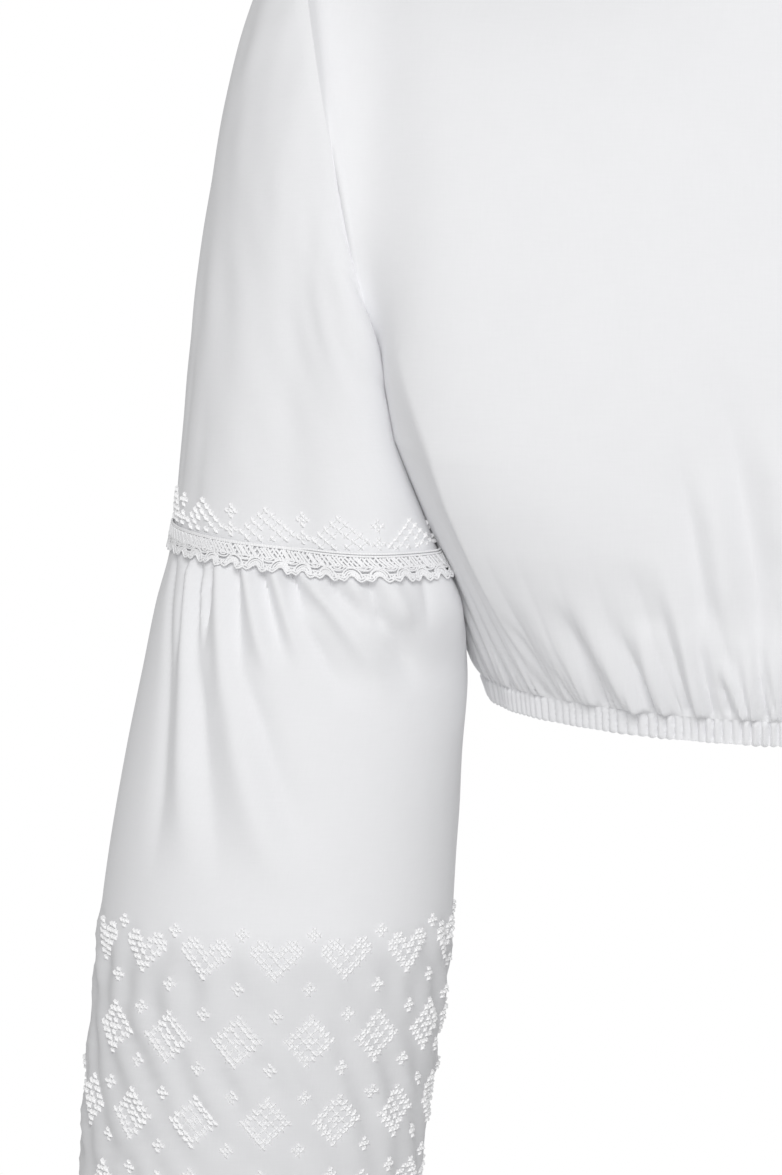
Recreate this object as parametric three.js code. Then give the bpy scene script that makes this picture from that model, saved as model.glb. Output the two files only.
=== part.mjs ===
// Dirndl blouse in its worn shape, empty. Long set-in sleeves in two tiers, the lower one gathered
// under a lace edging and again into a narrow cuff, an elasticated hem below the bust and a round
// neckline with a narrow binding. Millimetres, +Z up, the front faces -Y, the wearer's left is +X.
// The origin is midway between the two shoulder seams at the side of the neck, where it hangs.

import * as THREE from 'three';

// ---------------------------------------------------------------- driving sizes

const WALL = 1.2; // cloth
const SEAM = 0.3; // clearance between pieces that are sewn together
const CASING_HEIGHT = 12.5; // elastic casing at the hem
const CASING_DRAWN_IN = 0.027; // share by which its elastic narrows it towards its lower edge
const LACE_ABOVE_SEAM = 1.5; // the lace starts this far above the seam that it covers
const LACE_HEIGHT = 13.5;
const LACE_OFF_CLOTH = 0.5; // clearance between the lace and the cloth behind it
const LACE_OFF_GATHERS = 1.3; // more clearance at its lower edge, over the gathers

const SIDE_COLUMNS = 16; // columns in half a panel, counted from the centre line
const NECK_COLUMN = 9; // the column that meets the side of the neck
const PANEL_ROWS = 12;
const UNDERARM_ROW = 4; // the row that meets the underarm
const CASING_COLUMNS = 48;
const SLEEVE_COLUMNS = 28;
const CUFF_COLUMNS = 20;

const NECK_SHARE = NECK_COLUMN / SIDE_COLUMNS;
const UNDERARM = UNDERARM_ROW / PANEL_ROWS;

// Rings of the upper sleeve, from the armhole seam to the lace seam. out is the end of a ring away
// from the body, in the end next to it; midY and depth place the front and back of the ring.
const UPPER_SLEEVE = [
  { at: 0.0, outX: 213, outZ: -31, inX: 175, inZ: -233, midY: 3, depth: 54 },
  { at: 0.03, outX: 219.3, outZ: -35.2, inX: 175.2, inZ: -233.8, midY: 3, depth: 54.8 },
  { at: 0.08, outX: 226.8, outZ: -45, inX: 175.2, inZ: -235, midY: 3, depth: 55.5 },
  { at: 0.18, outX: 234.9, outZ: -63.5, inX: 175, inZ: -238, midY: 2, depth: 56.5 },
  { at: 0.32, outX: 244.1, outZ: -94.8, inX: 173.8, inZ: -242.5, midY: -1, depth: 57 },
  { at: 0.5, outX: 251.4, outZ: -135.2, inX: 171.3, inZ: -248.8, midY: -6, depth: 57 },
  { at: 0.68, outX: 258.2, outZ: -183.3, inX: 168.2, inZ: -258.8, midY: -12, depth: 56 },
  { at: 0.85, outX: 263.2, outZ: -240, inX: 164.6, inZ: -270.6, midY: -18, depth: 54.5 },
  { at: 1.0, outX: 266.5, outZ: -283.6, inX: 161.3, inZ: -283.6, midY: -22, depth: 53 },
];

// Rings of the lower sleeve, from the lace seam to the cuff seam.
const LOWER_SLEEVE = [
  { at: 0.0, outX: 266.5, outZ: -283.6, inX: 161.3, inZ: -283.6, midY: -22, depth: 53 },
  { at: 0.05, outX: 269.2, outZ: -297.3, inX: 156.7, inZ: -297.3, midY: -23, depth: 54.5 },
  { at: 0.1, outX: 274.4, outZ: -313.9, inX: 149.3, inZ: -313.9, midY: -24, depth: 57.5 },
  { at: 0.18, outX: 279.5, outZ: -339.3, inX: 142.9, inZ: -339.3, midY: -27, depth: 60.5 },
  { at: 0.3, outX: 286.8, outZ: -376.5, inX: 144.7, inZ: -376.5, midY: -32, depth: 63 },
  { at: 0.42, outX: 293.7, outZ: -418.9, inX: 146.8, inZ: -418.9, midY: -38, depth: 64.5 },
  { at: 0.54, outX: 298.4, outZ: -460.2, inX: 149.2, inZ: -460.2, midY: -44, depth: 65 },
  { at: 0.66, outX: 301.4, outZ: -502.5, inX: 154.6, inZ: -502.5, midY: -50, depth: 64.5 },
  { at: 0.8, outX: 304.8, outZ: -555, inX: 161.6, inZ: -555, midY: -56, depth: 62 },
  { at: 0.87, outX: 304, outZ: -580, inX: 166.6, inZ: -580, midY: -58.5, depth: 59 },
  { at: 0.93, outX: 298.7, outZ: -600, inX: 176, inZ: -600, midY: -60, depth: 53 },
  { at: 0.97, outX: 290, outZ: -612.5, inX: 188.3, inZ: -612.5, midY: -61, depth: 43.5 },
  { at: 1.0, outX: 279, outZ: -622, inX: 203.5, inZ: -622, midY: -61.5, depth: 31 },
];

// The cuff closes on the wrist.
const CUFF = [
  { at: 0, outX: 279, outZ: -622, inX: 203.5, inZ: -622, midY: -61.5, depth: 31 },
  { at: 1, outX: 279, outZ: -640, inX: 206.5, inZ: -640, midY: -63, depth: 29.5 },
];

// Side seam, from the casing up to the underarm.
const SIDE_SEAM = [
  { at: 0.0, x: 138.8, y: 4, z: -347.5 },
  { at: 0.14, x: 144.2, y: 4, z: -331.6 },
  { at: 0.39, x: 152.6, y: 4, z: -303 },
  { at: 0.7, x: 163.4, y: 3.5, z: -268 },
  { at: 1.0, x: 174.7, y: 3, z: -233 },
];

// Levels of the two panels, from the casing to the neckline: the centre line, how far round the
// body a level turns before it meets its edge, in degrees, and how square it is (2 is round).
const FRONT = [
  { at: 0.0, y: -105, z: -349, turn: 90, square: 1.7 },
  { at: 0.05, y: -109.5, z: -334, turn: 90, square: 1.95 },
  { at: 0.13, y: -113.5, z: -308, turn: 90, square: 2.5 },
  { at: 0.23, y: -117, z: -278, turn: 90, square: 3.3 },
  { at: 0.34, y: -118, z: -246, turn: 90, square: 4 },
  { at: 0.5, y: -115, z: -200, turn: 76, square: 4.5 },
  { at: 0.66, y: -106, z: -154, turn: 62, square: 4.3 },
  { at: 0.8, y: -96, z: -113, turn: 50, square: 3.6 },
  { at: 0.92, y: -85, z: -78, turn: 38, square: 2.8 },
  { at: 1.0, y: -78, z: -55, turn: 30, square: 2.1 },
];
const BACK = [
  { at: 0.0, y: 98, z: -348, turn: 90, square: 2.05 },
  { at: 0.05, y: 102.5, z: -332, turn: 90, square: 2.2 },
  { at: 0.13, y: 106, z: -305, turn: 90, square: 2.4 },
  { at: 0.23, y: 107, z: -272, turn: 90, square: 2.4 },
  { at: 0.34, y: 109, z: -236, turn: 90, square: 2.4 },
  { at: 0.5, y: 111.5, z: -184, turn: 76, square: 2.4 },
  { at: 0.66, y: 110, z: -131, turn: 62, square: 2.3 },
  { at: 0.8, y: 102, z: -88, turn: 50, square: 2.2 },
  { at: 0.92, y: 87, z: -54, turn: 38, square: 2.1 },
  { at: 1.0, y: 72, z: -32, turn: 30, square: 2.1 },
];
const TOP_BLEND = 0.6; // from this share of a panel's height, its levels turn into the neckline
const TOP_RISE = 2; // how late they rise to it
const TOP_LEAN = 3.5; // how late they lean back to it
const CORNER_SPREAD = 0.4; // how far across a panel the corner at the neck has spread at that level

// The neckline, and the upper edge of its binding.
const NECKLINE = { side: 103, sideY: 10, sideZ: 0, frontY: -78, frontZ: -55, backY: 72, backZ: -32 };
const BINDING = { side: 98, sideY: 10, sideZ: 6.5, frontY: -74, frontZ: -48, backY: 68.5, backZ: -25 };
const NECK_DIP = 1.2; // 1 is a neckline that lies in one plane on each side of the shoulder seam
const BINDING_START = 0.05; // share of the binding's width that is left clear at its seam

// Gathers: how many folds lie along a panel's hem or round a sleeve, how deep they are, how far
// they reach and how unevenly, and the length in which they rise from the seam.
const HEM_GATHERS = { folds: 8, depth: 2.6, reach: 62, uneven: 0.4, rise: 8 };
const LACE_GATHERS = { folds: 7, depth: 2.4, reach: 58, uneven: 0.35, rise: 22 };
const CUFF_GATHERS = { folds: 7, depth: 3, reach: 26, uneven: 0.3, rise: 8 };
const HEM_GATHERS_START = 3; // they start this far below the panels' lower edge, inside the casing
// Where the lower sleeve hangs against the side of the bodice it has no gathers.
const SMOOTH_BY_BODY = { width: 0.09, fromZ: -420, toZ: -380 };

// ---------------------------------------------------------------- curves

// A column's value at a place in a table, on a smooth curve through the rows.
function along(table, column, at) {
  let i = 0;
  while (i < table.length - 2 && at > table[i + 1].at) i += 1;
  const slope = (k) => {
    const before = table[Math.max(k - 1, 0)];
    const after = table[Math.min(k + 1, table.length - 1)];
    return (after[column] - before[column]) / (after.at - before.at);
  };
  const span = table[i + 1].at - table[i].at;
  const t = THREE.MathUtils.clamp((at - table[i].at) / span, 0, 1);
  const back = 1 - t;
  return table[i][column] * back * back * (1 + 2 * t) + table[i + 1][column] * t * t * (3 - 2 * t)
    + slope(i) * span * t * back * back - slope(i + 1) * span * t * t * back;
}

// Depth of the gathers at a turn round the edge (0 to 1) and a distance from the seam. Each fold
// has its own depth and reach, and the deepest ones go furthest.
function gather(kind, turn, distance) {
  const own = Math.sin(2 * Math.PI * turn * 3 + 1) * Math.sin(2 * Math.PI * turn * 5);
  const reach = kind.reach * (1 + kind.uneven * own);
  const rise = 1 - Math.exp(-distance / kind.rise);
  return kind.depth * rise * Math.exp(-((distance / reach) ** 2)) * Math.sin(2 * Math.PI * kind.folds * turn);
}

// ---------------------------------------------------------------- sleeves

// A point of a sleeve on the wearer's left: turn runs round the arm from its outer side by the
// front, the inner side and the back; at runs down the table.
function sleevePoint(table, turn, at) {
  const read = (column) => along(table, column, at);
  const across = Math.cos(2 * Math.PI * turn);
  const ahead = Math.sin(2 * Math.PI * turn);
  const [outX, inX, outZ, inZ] = ['outX', 'inX', 'outZ', 'inZ'].map(read);
  return new THREE.Vector3(
    (outX + inX) / 2 + ((outX - inX) / 2) * across,
    read('midY') - read('depth') * ahead,
    (outZ + inZ) / 2 + ((outZ - inZ) / 2) * across,
  );
}

// The same point moved out from the arm by a distance that depends on the place.
function sleeveMovedOut(table, turn, at, distance) {
  const point = sleevePoint(table, turn, at);
  const middle = sleevePoint(table, 0, at).add(sleevePoint(table, 0.5, at)).multiplyScalar(0.5);
  const out = point.clone().sub(middle).setZ(0).normalize();
  return point.addScaledVector(out, distance);
}

// The lower sleeve with its gathers, which die away where it lies against the side of the body.
function lowerSleevePoint(turn, at) {
  const z = sleevePoint(LOWER_SLEEVE, 0, at).z;
  const top = LOWER_SLEEVE[0].outZ;
  const bottom = LOWER_SLEEVE[LOWER_SLEEVE.length - 1].outZ;
  const { width, fromZ, toZ } = SMOOTH_BY_BODY;
  const beside = Math.exp(-(((turn - 0.5) / width) ** 2)) * THREE.MathUtils.smoothstep(z, fromZ, toZ);
  const clearOfBody = 1 - beside;
  const folds = gather(LACE_GATHERS, turn, top - z) * clearOfBody + gather(CUFF_GATHERS, turn, z - bottom);
  return sleeveMovedOut(LOWER_SLEEVE, turn, at, folds);
}

// ---------------------------------------------------------------- bodice

// The outer edge of a panel on the wearer's left: up the side seam, then up the armhole.
function panelEdge(at, towards) {
  if (at <= UNDERARM) {
    const share = at / UNDERARM;
    return new THREE.Vector3(
      along(SIDE_SEAM, 'x', share),
      along(SIDE_SEAM, 'y', share) + (towards * SEAM) / 2,
      along(SIDE_SEAM, 'z', share),
    );
  }
  const turn = 0.5 - (0.5 * (at - UNDERARM)) / (1 - UNDERARM);
  const point = sleevePoint(UPPER_SLEEVE, towards < 0 ? turn : 1 - turn, 0);
  point.x -= SEAM;
  point.y += (towards * SEAM) / 2;
  return point;
}

// The neckline or the binding's edge; turn runs from the centre front to the centre back.
function neckPoint(edge, turn) {
  const across = Math.sin(Math.PI * turn);
  const ahead = Math.abs(Math.cos(Math.PI * turn));
  const front = turn < 0.5;
  return new THREE.Vector3(
    edge.side * across,
    edge.sideY + ((front ? edge.frontY : edge.backY) - edge.sideY) * ahead,
    edge.sideZ + ((front ? edge.frontZ : edge.backZ) - edge.sideZ) * ahead ** NECK_DIP,
  );
}

// The top edge of a panel: half the neckline, then the straight shoulder seam.
function panelTop(across, towards) {
  const share = Math.min(across / NECK_SHARE, 1) / 2;
  const neck = neckPoint(NECKLINE, towards < 0 ? share : 1 - share);
  neck.y += share < 0.5 ? 0 : (towards * SEAM) / 2;
  if (share < 0.5) return neck;
  return neck.lerp(panelEdge(1, towards), (across - NECK_SHARE) / (1 - NECK_SHARE));
}

// One level of a panel before it is drawn up to the neckline: an arc of a squared circle from the
// centre line to the edge.
function levelPoint(table, towards, across, at) {
  const square = along(table, 'square', at);
  const turn = THREE.MathUtils.degToRad(Math.min(along(table, 'turn', at), 90));
  const reach = (angle) => (Math.sin(angle) ** square + Math.max(Math.cos(angle), 0) ** square) ** (-1 / square);
  const share = (angle) => Math.sin(angle) * reach(angle);
  const fall = (angle) => 1 - Math.cos(angle) * reach(angle);
  const edge = panelEdge(at, towards);
  const centre = new THREE.Vector3(0, along(table, 'y', at), along(table, 'z', at));
  const turned = fall(across * turn) / fall(turn);
  return new THREE.Vector3(
    (edge.x * share(across * turn)) / share(turn),
    centre.y + (edge.y - centre.y) * turned,
    centre.z + (edge.z - centre.z) * across * across,
  );
}

// How far the top edge lies from the topmost level, also past the centre line and the armhole.
function topLift(table, towards, across) {
  const inside = across < 0 ? -across : 1 - Math.abs(1 - across);
  const lift = panelTop(inside, towards).sub(levelPoint(table, towards, inside, 1));
  if (across < 0) lift.x *= -1;
  return across > 1 ? lift.negate() : lift;
}

// A point of a panel: across runs from -1 to 1, at from the casing to the top, and towards is -1
// on the front and 1 on the back. The corner at the side of the neck softens on the way down.
function panelPoint(table, towards, across, at) {
  const side = Math.sign(across) || 1;
  const half = Math.abs(across);
  const point = levelPoint(table, towards, half, at);
  if (at > TOP_BLEND) {
    const down = (1 - at) / (1 - TOP_BLEND);
    const spread = CORNER_SPREAD * Math.sqrt(down);
    const steps = [-1, -0.6, -0.2, 0.2, 0.6, 1];
    const lift = new THREE.Vector3();
    for (const step of steps) lift.add(topLift(table, towards, half + step * spread));
    const rise = (1 - down) ** TOP_RISE / steps.length;
    const lean = (1 - down) ** TOP_LEAN / steps.length;
    point.add(lift.multiply(new THREE.Vector3(rise, lean, rise)));
  }
  const out = new THREE.Vector3(point.x, point.y, 0).normalize();
  const fadeAtSide = 1 - half ** 6;
  const fromEdge = point.z - table[0].z + HEM_GATHERS_START;
  const folds = gather(HEM_GATHERS, across / 2 + 0.25, Math.max(fromEdge, 0));
  point.addScaledVector(out, at < TOP_BLEND ? folds * fadeAtSide : 0);
  point.x *= side;
  return point;
}

// The casing goes on down from the panels' lowest level, drawn in by its elastic.
function casingPoint(turn, down) {
  const quarter = turn < 0.5 ? turn * 4 - 1 : 3 - turn * 4;
  const towards = turn < 0.5 ? -1 : 1;
  const table = towards < 0 ? FRONT : BACK;
  const half = Math.abs(quarter);
  const point = levelPoint(table, towards, half, 0);
  point.x *= Math.sign(quarter) || 1;
  if (half > 0.999) point.y = SIDE_SEAM[0].y;
  const drawnIn = 1 - CASING_DRAWN_IN * down;
  return new THREE.Vector3(point.x * drawnIn, point.y * drawnIn, point.z - SEAM - CASING_HEIGHT * down);
}

// ---------------------------------------------------------------- walls

// A closed wall whose outer skin is point(i, j); the inner skin lies a thickness further in. The
// columns i go round with the outside on the right-hand side of the rows j, and a ring closes on
// itself. turnWall may turn the direction of the wall at a seam, so that neighbours stay clear.
function wall({ point, columns, rows, ring = false, thickness = WALL, turnWall = (n) => n }) {
  const count = ring ? columns : columns + 1;
  const column = (i) => (ring ? (i + columns) % columns : THREE.MathUtils.clamp(i, 0, columns));
  const outer = [];
  for (let j = 0; j <= rows; j += 1) {
    for (let i = 0; i < count; i += 1) outer.push(point(i, j));
  }
  const at = (i, j) => outer[THREE.MathUtils.clamp(j, 0, rows) * count + column(i)];
  const normalAt = (i, j) => {
    const sum = new THREE.Vector3();
    for (const [across, up] of [[1, 1], [-1, 1], [-1, -1], [1, -1]]) {
      const round = at(i + across, j).clone().sub(at(i, j));
      const rise = at(i, j + up).clone().sub(at(i, j));
      sum.add(round.cross(rise).normalize().multiplyScalar(across * up));
    }
    return sum.normalize();
  };
  const inner = [];
  for (let j = 0; j <= rows; j += 1) {
    for (let i = 0; i < count; i += 1) {
      const normal = turnWall(normalAt(i, j), i, j).normalize();
      inner.push(at(i, j).clone().addScaledVector(normal, -thickness));
    }
  }
  const points = [...outer, ...inner];
  const faces = [];
  const quad = (a, b, c, d) => faces.push(a, b, c, a, c, d);
  const index = (i, j) => j * count + (i % count);
  for (let j = 0; j < rows; j += 1) {
    for (let i = 0; i < columns; i += 1) {
      const corners = [index(i, j), index(i + 1, j), index(i + 1, j + 1), index(i, j + 1)];
      const [a, b, c, d] = corners.map((corner) => corner + outer.length);
      quad(...corners);
      quad(a, d, c, b);
    }
  }
  const rim = (a, b) => quad(a, a + outer.length, b + outer.length, b);
  for (let i = 0; i < columns; i += 1) {
    rim(index(i, 0), index(i + 1, 0));
    rim(index(i + 1, rows), index(i, rows));
  }
  if (!ring) {
    for (let j = 0; j < rows; j += 1) {
      rim(index(0, j + 1), index(0, j));
      rim(index(columns, j), index(columns, j + 1));
    }
  }
  const geometry = new THREE.BufferGeometry();
  const place = new Float32Array(points.flatMap((p) => [p.x, p.y, p.z]));
  geometry.setAttribute('position', new THREE.BufferAttribute(place, 3));
  geometry.setIndex(faces);
  return geometry;
}

// The other side's copy of a sleeve piece.
function mirrored(geometry) {
  const copy = geometry.clone();
  copy.scale(-1, 1, 1);
  const index = copy.getIndex();
  for (let i = 0; i < index.count; i += 3) {
    const kept = index.getX(i);
    index.setX(i, index.getX(i + 2));
    index.setX(i + 2, kept);
  }
  return copy;
}

// ---------------------------------------------------------------- pieces

// Front or back panel. At the side and shoulder seams the wall stands square to the seam.
function panel(table, towards) {
  const columns = 2 * SIDE_COLUMNS;
  const point = (i, j) => {
    const across = ((towards < 0 ? i : columns - i) / columns) * 2 - 1;
    return panelPoint(table, towards, across, j / PANEL_ROWS);
  };
  const turnWall = (normal, i, j) => {
    const fromEdge = Math.min(i, columns - i);
    const onSideSeam = fromEdge === 0 && j <= UNDERARM_ROW;
    const onShoulder = j === PANEL_ROWS && fromEdge <= SIDE_COLUMNS - NECK_COLUMN;
    if (onSideSeam || onShoulder) normal.y = 0;
    if (j === 0) normal.z = 0;
    return normal;
  };
  return wall({ point, columns, rows: PANEL_ROWS, turnWall });
}

// The sleeves have a row for each ring in their tables, from the last one up.
function upperSleeve() {
  const rows = UPPER_SLEEVE.length - 1;
  const point = (i, j) => {
    const p = sleevePoint(UPPER_SLEEVE, -i / SLEEVE_COLUMNS, UPPER_SLEEVE[rows - j].at);
    if (j === 0) p.z += SEAM;
    return p;
  };
  const turnWall = (normal, i, j) => {
    if (j === rows) normal.x = Math.min(normal.x, 0);
    if (j === 0) normal.z = 0;
    return normal;
  };
  return wall({ point, columns: SLEEVE_COLUMNS, rows, ring: true, turnWall });
}

function lowerSleeve() {
  const rows = LOWER_SLEEVE.length - 1;
  const point = (i, j) => {
    const p = lowerSleevePoint(1 - i / SLEEVE_COLUMNS, LOWER_SLEEVE[rows - j].at);
    if (j === 0) p.z += SEAM;
    return p;
  };
  const turnWall = (normal, i, j) => (j === 0 || j === rows ? normal.setZ(0) : normal);
  return wall({ point, columns: SLEEVE_COLUMNS, rows, ring: true, turnWall });
}

// The lace hangs over the seam between the two tiers, outside them both.
function laceBand() {
  const off = LACE_OFF_CLOTH + WALL;
  const belowSeam = LACE_HEIGHT - LACE_ABOVE_SEAM;
  const bottomShare = (LOWER_SLEEVE[1].at * belowSeam) / (LOWER_SLEEVE[0].outZ - LOWER_SLEEVE[1].outZ);
  const point = (i, j) => {
    const turn = -i / SLEEVE_COLUMNS;
    if (j === 1) {
      const p = sleeveMovedOut(UPPER_SLEEVE, turn, 1, off);
      p.z += LACE_ABOVE_SEAM;
      return p;
    }
    const p = sleeveMovedOut(LOWER_SLEEVE, turn, bottomShare, off + LACE_OFF_GATHERS);
    p.z = LOWER_SLEEVE[0].outZ - belowSeam;
    return p;
  };
  return wall({ point, columns: SLEEVE_COLUMNS, rows: 1, ring: true, turnWall: (n) => n.setZ(0) });
}

function cuff() {
  const point = (i, j) => sleevePoint(CUFF, -i / CUFF_COLUMNS, 1 - j);
  return wall({ point, columns: CUFF_COLUMNS, rows: 1, ring: true, turnWall: (n) => n.setZ(0) });
}

function hemCasing() {
  const point = (i, j) => casingPoint(i / CASING_COLUMNS, 1 - j);
  return wall({ point, columns: CASING_COLUMNS, rows: 1, ring: true, turnWall: (n) => n.setZ(0) });
}

// The binding stands on the neckline, level through its thickness, and leans in towards the neck.
function neckBinding() {
  const columns = 4 * NECK_COLUMN;
  const point = (i, j) => {
    const round = (2 * i) / columns;
    const turn = Math.min(round, 2 - round);
    const p = neckPoint(NECKLINE, turn).lerp(neckPoint(BINDING, turn), j ? 1 : BINDING_START);
    p.x *= round <= 1 ? 1 : -1;
    return p;
  };
  return wall({ point, columns, rows: 1, ring: true, turnWall: (n) => n.setZ(0) });
}

// ---------------------------------------------------------------- scene graph

const blouse = new THREE.Group();
const COTTON = { color: 0xeceef2, roughness: 0.85, metalness: 0 };
const LACE = { color: 0xf4f5f7, roughness: 0.75, metalness: 0 };

function add(name, geometry, finish) {
  const mesh = new THREE.Mesh(geometry, new THREE.MeshStandardMaterial(finish));
  mesh.name = name;
  blouse.add(mesh);
}

add('bodice_front', panel(FRONT, -1), COTTON);
add('bodice_back', panel(BACK, 1), COTTON);
add('neck_binding', neckBinding(), COTTON);
add('hem_casing', hemCasing(), COTTON);

const sleevePieces = [
  ['upper_sleeve', upperSleeve(), COTTON],
  ['lace_band', laceBand(), LACE],
  ['lower_sleeve', lowerSleeve(), COTTON],
  ['cuff', cuff(), COTTON],
];
for (const [name, geometry, finish] of sleevePieces) {
  add(`${name}_left`, geometry, finish);
  add(`${name}_right`, mirrored(geometry), finish);
}

export default blouse;
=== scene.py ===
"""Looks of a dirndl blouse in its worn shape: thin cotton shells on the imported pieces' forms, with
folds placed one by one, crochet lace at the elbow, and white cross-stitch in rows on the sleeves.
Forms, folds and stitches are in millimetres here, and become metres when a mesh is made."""

import math

import bpy
import numpy as np
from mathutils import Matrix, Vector


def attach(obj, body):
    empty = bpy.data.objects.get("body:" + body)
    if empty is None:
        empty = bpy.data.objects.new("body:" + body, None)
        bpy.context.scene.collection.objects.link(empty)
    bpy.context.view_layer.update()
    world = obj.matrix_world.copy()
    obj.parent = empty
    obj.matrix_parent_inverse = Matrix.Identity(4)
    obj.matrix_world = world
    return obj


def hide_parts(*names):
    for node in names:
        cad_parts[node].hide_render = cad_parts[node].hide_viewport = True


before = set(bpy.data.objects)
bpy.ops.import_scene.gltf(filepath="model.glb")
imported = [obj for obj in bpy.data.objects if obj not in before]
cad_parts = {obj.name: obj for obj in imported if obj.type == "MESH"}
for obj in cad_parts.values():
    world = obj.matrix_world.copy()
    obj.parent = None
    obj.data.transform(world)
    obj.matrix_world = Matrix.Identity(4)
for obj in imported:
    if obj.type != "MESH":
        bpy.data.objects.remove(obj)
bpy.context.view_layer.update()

MM = 0.001

# The forms of the pieces in millimetres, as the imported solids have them.
# Rings of a sleeve: share of the way down, outer x and z, inner x and z, middle y, depth.
UPPER_SLEEVE = (
    (0, 213, -31, 175, -233, 3, 54), (0.03, 219.3, -35.2, 175.2, -233.8, 3, 54.8),
    (0.08, 226.8, -45, 175.2, -235, 3, 55.5), (0.18, 234.9, -63.5, 175, -238, 2, 56.5),
    (0.32, 244.1, -94.8, 173.8, -242.5, -1, 57), (0.5, 251.4, -135.2, 171.3, -248.8, -6, 57),
    (0.68, 258.2, -183.3, 168.2, -258.8, -12, 56), (0.85, 263.2, -240, 164.6, -270.6, -18, 54.5),
    (1, 266.5, -283.6, 161.3, -283.6, -22, 53),
)
LOWER_SLEEVE = (
    (0, 266.5, -283.6, 161.3, -283.6, -22, 53), (0.05, 269.2, -297.3, 156.7, -297.3, -23, 54.5),
    (0.1, 274.4, -313.9, 149.3, -313.9, -24, 57.5), (0.18, 279.5, -339.3, 142.9, -339.3, -27, 60.5),
    (0.3, 286.8, -376.5, 144.7, -376.5, -32, 63), (0.42, 293.7, -418.9, 146.8, -418.9, -38, 64.5),
    (0.54, 298.4, -460.2, 149.2, -460.2, -44, 65), (0.66, 301.4, -502.5, 154.6, -502.5, -50, 64.5),
    (0.8, 304.8, -555, 161.6, -555, -56, 62), (0.87, 304, -580, 166.6, -580, -58.5, 59),
    (0.93, 298.7, -600, 176, -600, -60, 53), (0.97, 290, -612.5, 188.3, -612.5, -61, 43.5),
    (1, 279, -622, 203.5, -622, -61.5, 31),
)
CUFF = (
    (0, 279, -622, 203.5, -622, -61.5, 31), (1, 279, -640, 206.5, -640, -63, 29.5),
)
# Share of the way up, x, y and z.
SIDE_SEAM = (
    (0, 138.8, 4, -347.5), (0.14, 144.2, 4, -331.6),
    (0.39, 152.6, 4, -303), (0.7, 163.4, 3.5, -268),
    (1, 174.7, 3, -233),
)
# Levels of a panel: share of the way up, y and z at the centre, degrees turned through, squareness.
FRONT = (
    (0, -105, -349, 90, 1.7), (0.05, -109.5, -334, 90, 1.95),
    (0.13, -113.5, -308, 90, 2.5), (0.23, -117, -278, 90, 3.3),
    (0.34, -118, -246, 90, 4), (0.5, -115, -200, 76, 4.5),
    (0.66, -106, -154, 62, 4.3), (0.8, -96, -113, 50, 3.6),
    (0.92, -85, -78, 38, 2.8), (1, -78, -55, 30, 2.1),
)
BACK = (
    (0, 98, -348, 90, 2.05), (0.05, 102.5, -332, 90, 2.2),
    (0.13, 106, -305, 90, 2.4), (0.23, 107, -272, 90, 2.4),
    (0.34, 109, -236, 90, 2.4), (0.5, 111.5, -184, 76, 2.4),
    (0.66, 110, -131, 62, 2.3), (0.8, 102, -88, 50, 2.2),
    (0.92, 87, -54, 38, 2.1), (1, 72, -32, 30, 2.1),
)
# Edges at the neck: x, y and z at the side, then y and z at the front and at the back.
NECKLINE = (103, 10, 0, -78, -55, 72, -32)
BINDING = (98, 10, 6.5, -74, -48, 68.5, -25)
# The share of a panel's height that lies below the armhole, and of its top edge that is neckline.
UNDERARM = 1 / 3
NECK_SHARE = 9 / 16
# How a panel's levels are drawn up to its top edge, and how the neckline dips.
TOP_BLEND, TOP_RISE, TOP_LEAN, NECK_DIP = 0.6, 2, 3.5, 1.2
CORNER_SPREAD, CORNER_STEPS = 0.4, 6


def along(rows, at):
    """A table's columns at places in its first column, on smooth curves through its rows."""
    x, *columns = np.array(rows, float).T
    i = np.clip(np.searchsorted(x, at, side="left") - 1, 0, len(x) - 2)
    number = np.arange(len(x))
    before, after = np.maximum(number - 1, 0), np.minimum(number + 1, number[-1])
    span = x[i + 1] - x[i]
    t = np.clip((at - x[i]) / span, 0, 1)
    back = 1 - t
    values = []
    for y in columns:
        slope = (y[after] - y[before]) / (x[after] - x[before])
        ends = y[i] * back**2 * (1 + 2 * t) + y[i + 1] * t**2 * (3 - 2 * t)
        values.append(ends + slope[i] * span * t * back**2 - slope[i + 1] * span * t**2 * back)
    return values


def sleeve_points(rows, turn, at):
    """Points of the wearer's left sleeve: turn goes round from outside by the front, at runs down."""
    across, ahead = np.cos(2 * np.pi * turn), np.sin(2 * np.pi * turn)
    out_x, out_z, in_x, in_z, mid_y, depth = along(rows, at)
    x = (out_x + in_x) / 2 + (out_x - in_x) / 2 * across
    z = (out_z + in_z) / 2 + (out_z - in_z) / 2 * across
    return np.stack([x, mid_y - depth * ahead, z], -1)


def armhole_turn(at):
    """The turn round the armhole, from 0.5 at the underarm to 0 at the shoulder."""
    return 0.5 - 0.5 * np.clip((at - UNDERARM) / (1 - UNDERARM), 0, 1)


def panel_edge(at, towards):
    """The side edge of a panel: up the side seam, then up the armhole. towards is -1 for the front
    and 1 for the back."""
    seam = np.stack(along(SIDE_SEAM, np.clip(at / UNDERARM, 0, 1)), -1)
    turn = armhole_turn(at)
    armhole = sleeve_points(UPPER_SLEEVE, turn if towards < 0 else 1 - turn, np.zeros_like(turn))
    return np.where((at <= UNDERARM)[..., None], seam, armhole)


def neck_points(edge, turn):
    """The neckline or the binding's edge; turn runs from the centre front to the centre back."""
    across, ahead = np.sin(np.pi * turn), np.abs(np.cos(np.pi * turn))
    side_x, side_y, side_z, front_y, front_z, back_y, back_z = edge
    y = side_y + (np.where(turn < 0.5, front_y, back_y) - side_y) * ahead
    z = side_z + (np.where(turn < 0.5, front_z, back_z) - side_z) * ahead**NECK_DIP
    return np.stack([side_x * across, y, z], -1)


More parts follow.
